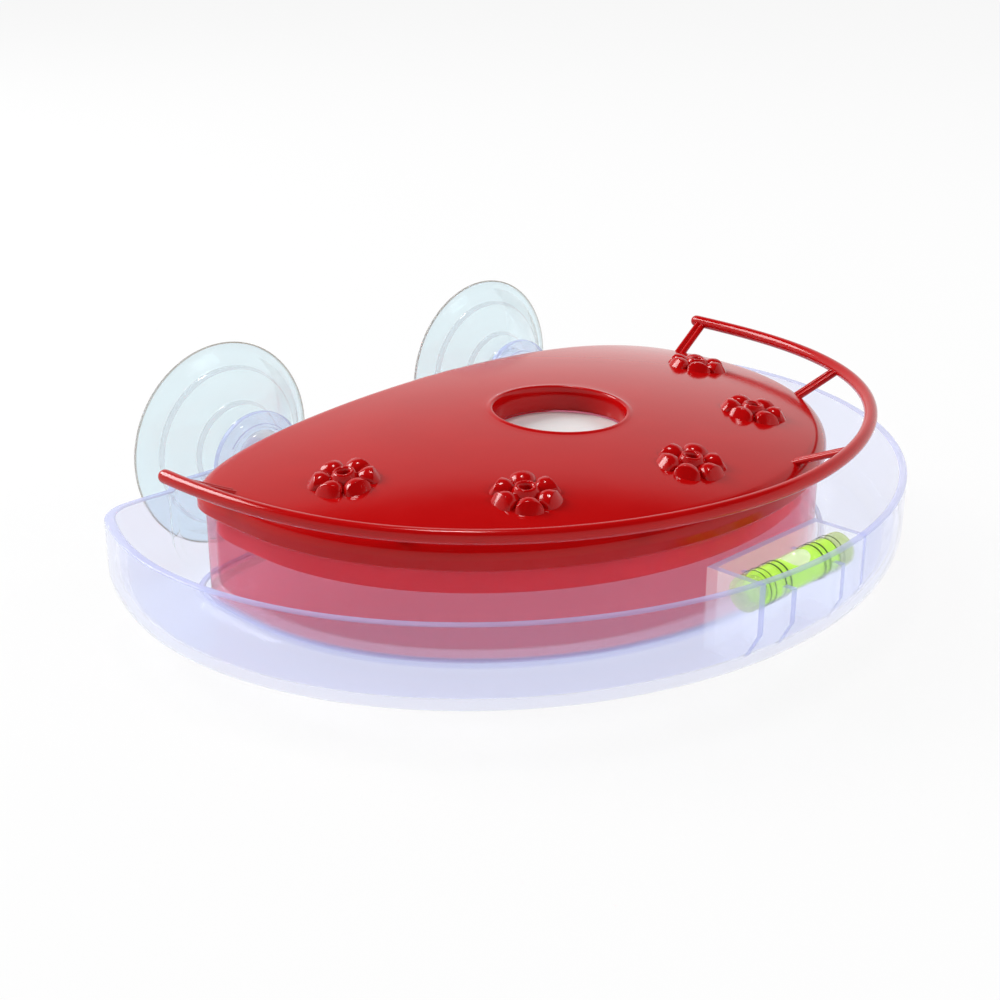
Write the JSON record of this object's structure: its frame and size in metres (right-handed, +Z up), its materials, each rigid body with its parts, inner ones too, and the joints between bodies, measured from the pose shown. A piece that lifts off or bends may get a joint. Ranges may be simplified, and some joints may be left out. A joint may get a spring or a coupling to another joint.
{
  "type": "window hummingbird feeder",
  "caption": "Window hummingbird feeder: clear half-round tray on suction cups holds a tinted bowl under a domed red lid with flower feeding ports, a perch rail and a small spirit level.",
  "frame": {"origin": "on the window plane, midway between the centres of the suction cups", "axes": "+X along the window to the right seen from the room side of the feeder's front, +Y towards the window, +Z up"},
  "size_m": [0.252, 0.1849, 0.064],
  "materials": {
    "clear_plastic": "clear, faint lavender, glossy",
    "clear_pvc": "clear, soft",
    "tinted_plastic": "clear, pink-red tint, glossy",
    "red_plastic": "opaque, high gloss",
    "vial_plastic": "clear, glossy",
    "lime_liquid": "clear lime-green liquid",
    "vial_stopper": "pale, translucent"
  },
  "bodies": {
    "tray_body": {"tray": "clear_plastic", "level_vial": "vial_plastic", "vial_liquid": "lime_liquid", "vial_stopper_left": "vial_stopper", "vial_stopper_right": "vial_stopper"},
    "cup_left_body": {"suction_cup_left": "clear_pvc"},
    "cup_right_body": {"suction_cup_right": "clear_pvc"},
    "bowl_body": {"bowl": "tinted_plastic"},
    "lid_body": {"lid": "red_plastic", "perch_rail": "red_plastic", "feeding_port_1": "red_plastic", "feeding_port_2": "red_plastic", "feeding_port_3": "red_plastic", "feeding_port_4": "red_plastic", "feeding_port_5": "red_plastic"}
  },
  "joints": [
    {"name": "cup_left_turn", "type": "hinge", "parent": "tray_body", "child": "cup_left_body", "pos_m": [-0.0559, -0.0186, 0], "axis": [0, 1, 0], "continuous": true},
    {"name": "cup_right_turn", "type": "hinge", "parent": "tray_body", "child": "cup_right_body", "pos_m": [0.0559, -0.0186, 0], "axis": [0, 1, 0], "continuous": true},
    {"name": "bowl_lift", "type": "slide", "parent": "tray_body", "child": "bowl_body", "axis": [0, 0, 1], "range_m": [0, 0.06]},
    {"name": "lid_lift", "type": "slide", "parent": "bowl_body", "child": "lid_body", "axis": [0, 0, 1], "range_m": [0, 0.045]}
  ]
}
